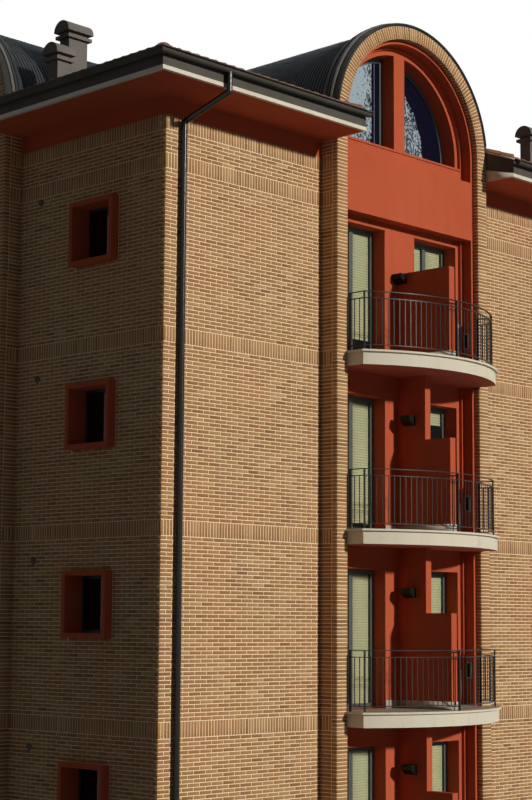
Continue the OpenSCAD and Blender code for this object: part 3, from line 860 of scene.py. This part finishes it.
def verge_trim(side):
    """White end plate of the eaves beside the bay, and the pale strip under the tiles."""
    plates, strips = Quads(), Quads()
    eave_out = ROOF_HALF - HALF
    ends = (PIER_OUT + END_GAPS[0], eave_out - END_GAPS[1])
    for hand in HANDS:
        plates.sweep(side, [plate_ring(hand, -u, SOFFIT_Z, SOFFIT_Z + rise)
                            for u, rise in zip(ends, END_TOPS)])
        strips.sweep(side, [
            plate_ring(hand, -u, *(float(roof_height(-u)) - depth for depth in STRIP_DEPTHS))
            for u in (ends[0], eave_out)
        ])
    plates.piece(f"{SIDES[side]}_eaves_ends", WHITE, "trim_board")
    strips.piece(f"{SIDES[side]}_verge_strips", WHITE, "trim_board")


def gutter_trim(side):
    """Rolled bead along the lip of the gutter, and the plates that close its ends."""
    batch = Quads()
    middle = ROOF_HALF - HALF + GUTTER_R
    lip = middle + GUTTER_R
    turns = np.linspace(0, 2 * math.pi, BEAD_POINTS, endpoint=False)
    under = np.linspace(math.pi, 2 * math.pi, PLATE_POINTS)
    for hand in HANDS:
        batch.sweep(side, [
            [(x, -lip + BEAD_R * math.cos(a), GUTTER_Z + BEAD_R * math.sin(a)) for a in turns]
            for x in (hand * BAY_HALF, hand * (HALF + lip))
        ])
        outline = ((0, PLATE_HUB), (0, GUTTER_R), (PLATE_T, GUTTER_R), (PLATE_T, PLATE_HUB))
        batch.sweep(side, [
            [(hand * (BAY_HALF - x), -middle + r * math.cos(a), GUTTER_Z + r * math.sin(a))
             for a in under]
            for x, r in outline
        ])
    batch.piece(f"{SIDES[side]}_gutter_trim", ROOF_METAL, "dark_metal")


for side in range(4):
    tiles(side)
    verge_trim(side)
    gutter_trim(side)
hip_tiles()


# ---- Barrel roofs ----

# Ribs of the corrugated sheet: from one to the next, width, height, and the share of the
# width at the top
RIB_PITCH = 0.076
RIB_W = 0.04
RIB_H = 0.018
RIB_TOP = 0.45
# The pale strip that ends the sheet
RIM_Y = -0.235
RIM_W = 0.06
RIM_H = 0.03
RIM_TOP = 0.85
# How deep ribs reach into the sheet, the angle they run on below the tiles, how far below
# the crown the roof is at the last one, and the steps of a half circle
RIB_SINK = 0.002
RIB_PAST = 0.05
RIB_CROWN = 0.02
RIB_STEPS = 30
CAP_R = high("arch_caps").z - SPRING_Z
# The flashing: its reach to the barrel and over the tiles, its height at the barrel, its
# distance from the wall and the crown, and how its foot and its top slope
FLASH_REACH = (0.03, 0.15)
FLASH_LIFT = 0.085
FLASH_ENDS = (0.02, 0.01)
FLASH_SINK = 0.02
FLASH_FALL = 0.015
FLASH_STEPS = 26
# The lip of the arch's cap: how far it laps over the bricks, stands out in front, reaches
# back above and below, and stands over the cap
LIP_LAP = 0.026
LIP_OUT = 0.012
LIP_BACK = (0.02, 0.002)
LIP_OVER = 0.004
LIP_STEPS = 61


def outward_at(angle):
    """The direction out of a barrel or an arch, in a side's own frame."""
    return np.array((math.cos(angle), 0, math.sin(angle)))


def arc_rib(batch, side, y, width, height, top_share):
    """A rib over the barrel at y, down to where the tiled roof meets it. In front of the
    wall it lies on the cap of the arch instead."""
    radius = BARREL_R if y > 0 else CAP_R
    rise = max(0.0, float(roof_height(max(y, 0.0))) - SPRING_Z)
    start = max(0.0, math.asin(min(1.0, rise / radius)) - RIB_PAST)
    steps = max(4, round(RIB_STEPS * (math.pi - 2 * start) / math.pi))
    rings = []
    for a in np.linspace(start, math.pi - start, steps):
        outward = outward_at(a)
        foot = np.array((0, y, SPRING_Z)) + outward * (radius - RIB_SINK)
        top = foot + outward * (height + RIB_SINK)
        w, t = width / 2, width / 2 * top_share
        rings.append([foot + (0, w, 0), foot - (0, w, 0), top - (0, t, 0), top + (0, t, 0)])
    batch.sweep(side, rings, rng.random())


def barrel_ribs(side):
    """Corrugated sheet, from just behind the rim back to where the tiles close over it."""
    batch = Quads()
    y = RIM_Y + RIB_PITCH
    while roof_height(y) < SPRING_Z + BARREL_R - RIB_CROWN:
        if abs(y) > RIB_W / 2:
            arc_rib(batch, side, y, RIB_W, RIB_H, RIB_TOP)
        y += RIB_PITCH
    batch.piece(f"{SIDES[side]}_barrel_ribs", BARREL, "barrel_metal")


def barrel_rim(side):
    """Pale strip that ends the corrugated sheet, a little behind the brick face."""
    batch = Quads()
    arc_rib(batch, side, RIM_Y, RIM_W, RIM_H, RIM_TOP)
    batch.piece(f"{SIDES[side]}_barrel_rim", FLASHING, "barrel_metal")


def valley_flashing(side):
    """Sheet metal that closes the tiles against the barrel."""
    batch = Quads()
    crown = HALF - (APEX_Z - SPRING_Z - BARREL_R) / SLOPE
    for hand in HANDS:
        rings = []
        for y in np.linspace(FLASH_ENDS[0], crown - FLASH_ENDS[1], FLASH_STEPS):
            x, z = float(roof_cut(np.array(y))), float(roof_height(y))
            near = hand * max(x - FLASH_REACH[0], 0.0)
            far = hand * (x + FLASH_REACH[1])
            ring = [(near, y, z - FLASH_SINK), (far, y, z + FLASH_SINK),
                    (far, y, z + FLASH_LIFT - FLASH_FALL), (near, y, z + FLASH_LIFT)]
            rings.append(ring[::hand])
        batch.sweep(side, rings)
    batch.piece(f"{SIDES[side]}_valley_flashing", FLASHING, "barrel_metal")


def cap_lip(side):
    """Folded edge of the metal cap, over the outer ends of the arch bricks."""
    batch = Quads()
    hub, front = np.array((0, 0, SPRING_Z)), -PIER_OUT
    inner, outer = BAY_HALF - LIP_LAP, CAP_R + LIP_OVER
    section = ((inner, front - LIP_OUT), (outer, front - LIP_OUT),
               (outer, front + LIP_BACK[0]), (inner, front + LIP_BACK[1]))
    rings = [[hub + outward_at(a) * r + (0, y, 0) for r, y in section]
             for a in np.linspace(0, math.pi, LIP_STEPS)]
    batch.sweep(side, rings)
    batch.piece(f"{SIDES[side]}_cap_lip", CAP_METAL, "dark_metal")


for side in range(4):
    barrel_ribs(side)
    barrel_rim(side)
    cap_lip(side)
    valley_flashing(side)


# ---- Bays: blinds, vents, skirtings ----

# Closed slats: their distance behind the wall face, pitch, how much narrower than the pane
# they are, lean, thickness and bevel
SLAT_Y = 0.329
SLAT_PITCH = 0.048
SLAT_GAP = 0.004
SLAT_LEAN = math.radians(7)
SLAT_T = 0.002
SLAT_BEVEL = 0.0004
# Share of the pane that the blinds cover: storey and door, then left leaf, right leaf
FULL = 1.0
BLIND_DROPS = {
    (0, -1): (FULL, FULL), (0, 1): (FULL, FULL),
    (1, -1): (FULL, FULL), (1, 1): (FULL, FULL),
    (2, -1): (FULL, 0.97), (2, 1): (0.1, 0.1),
    (3, -1): (0.86, 0.86), (3, 1): (0.3, FULL),
}
# The door whose leaves swing, as side, storey and hand
GARDEN_DOOR = (0, 0, -1)
LEAVES = {-1: "garden_door_left", 1: "garden_door_right"}

# Framed vent on the lining: its place along Y and above the floor, the width of its frame,
# how far that stands out, the shares of that for its back and its louvres, the gaps below
# and above the louvres, their pitch and height
VENT_Y = (-0.21, -0.065)
VENT_RISE = (0.49, 0.8)
VENT_EDGE = 0.024
VENT_OUT = 0.014
VENT_SHARES = (0.25, 0.8)
LOUVRE_GAPS = (0.02, 0.01)
LOUVRE_PITCH = 0.03
LOUVRE_H = 0.008
# Grille beside the door: its place along X, foot and top above the floor, top on the
# highest storey, posts and slats
GRILLE_X = (1.686, 1.762)
GRILLE_FOOT = 0.1
GRILLE_TOP = 0.65
TALL_GRILLE_TOP = 0.97
GRILLE_POST = 0.012
GRILLE_SLAT_OUT = 0.01
GRILLE_SLAT_H = 0.016
GRILLE_PITCH = 0.03
# Skirting: reach of the dividing wall that it goes round, thickness and height
DIVIDER_REACH = 1.22
SKIRT_T = 0.012
SKIRT_H = 0.145
# Round vent in the side wings: how far from the corner and above the floor, and its
# profile, as radius and distance in front of the wall
ROUND_X = 3.19
ROUND_RISE = 2.53
ROUND_PROFILE = ((0.06, 0), (0.06, 0.02), (0.06 * 0.72, 0.02), (0.06 * 0.66, 0.02 / 3),
                 (0.06 * 0.3, 0.02 / 3), (0.002, 0.016))
ROUND_POINTS = 24


def blind(batch, side, door, k, hand, share):
    """Closed slats behind one pane, hung from its top."""
    count = round(share * (DOOR_H - 2 * PANE_EDGE) / SLAT_PITCH)
    centre = np.zeros((count, 3))
    centre[:, 0] = door * DOOR_X + hand * (PANE_IN + PANE_W / 2)
    centre[:, 1] = SLAT_Y
    centre[:, 2] = level(k) + DOOR_H - PANE_EDGE - (np.arange(count) + 0.5) * SLAT_PITCH
    out = (0, -math.cos(SLAT_LEAN), math.sin(SLAT_LEAN))
    up = (0, math.sin(SLAT_LEAN), math.cos(SLAT_LEAN))
    batch.blocks(side, centre, out, up, PANE_W - SLAT_GAP, SLAT_PITCH, SLAT_T, SLAT_BEVEL,
                 rng.random(count), closed=True)


def door_blinds(side):
    """The blinds of a side, apart from those on the leaves that swing."""
    batch = Quads()
    for (k, door), drops in BLIND_DROPS.items():
        if (side, k, door) != GARDEN_DOOR:
            for hand, share in zip(HANDS, drops):
                blind(batch, side, door, k, hand, share)
    batch.piece(f"{SIDES[side]}_door_blinds", BLIND, "white_edge")


def leaf_blind(hand, name):
    """The blind on a leaf that swings, which rides on it."""
    batch = Quads()
    side, k, door = GARDEN_DOOR
    blind(batch, side, door, k, hand, FULL)
    batch.piece(f"{name}_blind", BLIND, "white_edge", body=name)


def framed_vent(frames, centres, side, hand, k):
    """Vent on the inner face of the lining, beside the railing."""
    (y0, y1), (z0, z1) = VENT_Y, (level(k) + rise for rise in VENT_RISE)
    x, edge, out = hand * LINING_X, VENT_EDGE, hand * VENT_OUT
    for a, b in (
        ((y0, z0), (y1, z0 + edge)),
        ((y0, z1 - edge), (y1, z1)),
        ((y0, z0 + edge), (y0 + edge, z1 - edge)),
        ((y1 - edge, z0 + edge), (y1, z1 - edge)),
    ):
        frames.box(side, (x, *a), (x - out, *b))
    back, louvre = (x - out * share for share in VENT_SHARES)
    centres.box(side, (x, y0 + edge, z0 + edge), (back, y1 - edge, z1 - edge))
    first, last = z0 + edge + LOUVRE_GAPS[0], z1 - edge - LOUVRE_GAPS[1]
    for z in np.arange(first, last, LOUVRE_PITCH):
        centres.box(side, (back, y0 + edge, z), (louvre, y1 - edge, z + LOUVRE_H))


def grille(frames, side, hand, k):
    """Louvred grille on the narrow wall beside the door."""
    x0, x1 = (hand * x for x in GRILLE_X)
    z0 = level(k) + GRILLE_FOOT
    z1 = level(k) + (TALL_GRILLE_TOP if k == STOREYS - 1 else GRILLE_TOP)
    post = hand * GRILLE_POST
    frames.box(side, (x0, 0, z0), (x0 + post, -GRILLE_POST, z1))
    frames.box(side, (x1, 0, z0), (x1 - post, -GRILLE_POST, z1))
    for z in np.arange(z0, z1, GRILLE_PITCH):
        frames.box(side, (x0 + post, 0, z), (x1 - post, -GRILLE_SLAT_OUT, z + GRILLE_SLAT_H))


def skirting(batch, side, k):
    """Pale stone skirting round the foot of the dividing wall, and on to the doors."""
    foot, top = level(k) if k else 0.0, level(k) + SKIRT_H
    front = -DIVIDER_REACH - SKIRT_T
    for hand in HANDS:
        x = hand * DIVIDER_X
        beside = x + hand * SKIRT_T
        batch.box(side, (x, front, foot), (beside, 0, top))
        batch.box(side, (beside, -SKIRT_T, foot), (hand * (DOOR_X - DOOR_W / 2), 0, top))
    batch.box(side, (-DIVIDER_X, front, foot), (DIVIDER_X, -DIVIDER_REACH, top))


def bay_trim(side):
    frames, centres, stone = Quads(), Quads(), Quads()
    for k in range(STOREYS):
        for hand in HANDS:
            framed_vent(frames, centres, side, hand, k)
            grille(frames, side, hand, k)
        skirting(stone, side, k)
    frames.piece(f"{SIDES[side]}_vent_frames", PALE, "white_edge")
    centres.piece(f"{SIDES[side]}_vent_louvres", BLACK, "dark_metal")
    stone.piece(f"{SIDES[side]}_skirting", PALE, "white_edge")


def round_vents():
    """Round vent caps in the brickwork of the side wings, one to a storey."""
    batch = Quads()
    turns = np.linspace(0, 2 * math.pi, ROUND_POINTS, endpoint=False)
    for side in (1, 3):
        for k in range(STOREYS):
            for hand in HANDS:
                hub = np.array((hand * (HALF - ROUND_X), 0, level(k) + ROUND_RISE))
                batch.sweep(side, [
                    [hub + (r * math.sin(a), -y, r * math.cos(a)) for a in turns]
                    for r, y in ROUND_PROFILE
                ])
    batch.piece("round_vents", BLACK, "dark_metal")


for side in range(4):
    door_blinds(side)
for side in range(4):
    bay_trim(side)
for hand, name in LEAVES.items():
    leaf_blind(hand, name)
round_vents()


# ---- Stage, light and camera ----

# The sky's light, and how bright the floor is to the camera and in reflections
FILL_COLOUR = (0.72, 0.85, 1.0, 1)
FILL_STRENGTH = 0.065
WHITE_LIGHT = (1, 1, 1, 1)
FLOOR_GLOW = 0.83
FLOOR_HALF = 400.0
FLOOR_Z = -0.002
# The photograph's place, its yaw, pitch and roll in degrees, its lens and the width of the
# sensor in mm, for an image of 532 x 800
CAMERA_PLACE = (-24.950, -26.658, 4.737)
CAMERA_ANGLES = (45.9125, 7.2048, 0.3637)
CAMERA_LENS = 79.61
CAMERA_SENSOR = 36
CAMERA_REACH = 500


def world():
    """Soft light all round. What the camera, metal and glass see of it is white."""
    made = bpy.data.worlds.new("studio")
    made.use_nodes = True
    tree = made.node_tree
    tree.nodes.clear()

    def background(colour, strength):
        node = tree.nodes.new("ShaderNodeBackground")
        node.inputs["Color"].default_value = colour
        node.inputs["Strength"].default_value = strength
        return node.outputs[0]

    def larger(a, b):
        node = tree.nodes.new("ShaderNodeMath")
        node.operation = "MAXIMUM"
        tree.links.new(a, node.inputs[0])
        tree.links.new(b, node.inputs[1])
        return node.outputs[0]

    ray = tree.nodes.new("ShaderNodeLightPath").outputs
    reflected = larger(ray["Is Glossy Ray"], ray["Is Transmission Ray"])
    mix = tree.nodes.new("ShaderNodeMixShader")
    tree.links.new(larger(ray["Is Camera Ray"], reflected), mix.inputs[0])
    tree.links.new(background(FILL_COLOUR, FILL_STRENGTH), mix.inputs[1])
    tree.links.new(background(WHITE_LIGHT, 1.0), mix.inputs[2])
    out = tree.nodes.new("ShaderNodeOutputWorld")
    tree.links.new(mix.outputs[0], out.inputs[0])
    bpy.context.scene.world = made


def floor():
    """Pale floor that takes the shadow. The camera sees it brighter than it lights."""
    s = Shader("studio_floor", roughness=0.9, specular=0.1)
    s.colour(s.mix(s.noise(0.2), (0.18, 0.18, 0.18, 1), (0.165, 0.165, 0.165, 1)))
    ray = s.node("ShaderNodeLightPath").outputs
    seen = s.math("MAXIMUM", ray["Is Camera Ray"], ray["Is Glossy Ray"])
    seen = s.math("MAXIMUM", seen, ray["Is Transmission Ray"])
    s.bsdf.inputs["Emission Color"].default_value = WHITE_LIGHT
    s.put(s.bsdf.inputs["Emission Strength"], s.math("MULTIPLY", seen, FLOOR_GLOW))
    mesh = bpy.data.meshes.new("floor")
    r = FLOOR_HALF
    mesh.from_pydata([(-r, -r, 0), (r, -r, 0), (r, r, 0), (-r, r, 0)], [], [(0, 1, 2, 3)])
    mesh.materials.append(s.material)
    made = link("floor", mesh)
    made.location.z = FLOOR_Z


def lamp(name, toward, energy, colour, softness):
    """A soft lamp far away, in the given direction, softness degrees wide."""
    data = bpy.data.lights.new(name, "SUN")
    data.energy = energy
    data.angle = math.radians(softness)
    data.color = colour
    made = link(name, data)
    made.rotation_mode = "QUATERNION"
    made.rotation_quaternion = Vector(toward).to_track_quat("Z", "Y")


def camera():
    yaw, pitch, roll = (math.radians(v) for v in CAMERA_ANGLES)
    forward = Vector((math.sin(yaw) * math.cos(pitch), math.cos(yaw) * math.cos(pitch),
                      math.sin(pitch)))
    right = Vector((math.cos(yaw), -math.sin(yaw), 0))
    up = right.cross(forward)
    x = right * math.cos(roll) + up * math.sin(roll)
    y = up * math.cos(roll) - right * math.sin(roll)
    data = bpy.data.cameras.new("camera")
    data.lens = CAMERA_LENS
    data.sensor_width = CAMERA_SENSOR
    data.clip_end = CAMERA_REACH
    made = link("camera", data)
    turn = Matrix((x, y, -forward)).transposed()
    made.matrix_world = Matrix.Translation(Vector(CAMERA_PLACE)) @ turn.to_4x4()
    bpy.context.scene.camera = made


world()
floor()
lamp("sun", (0.170, -0.936, 0.307), energy=3.0, colour=(1.0, 0.965, 0.91), softness=3)
lamp("back_light", (0.70, 0.70, 0.20), energy=3.2, colour=(0.95, 0.97, 1.0), softness=30)
camera()
bpy.context.scene.view_settings.view_transform = "Standard"
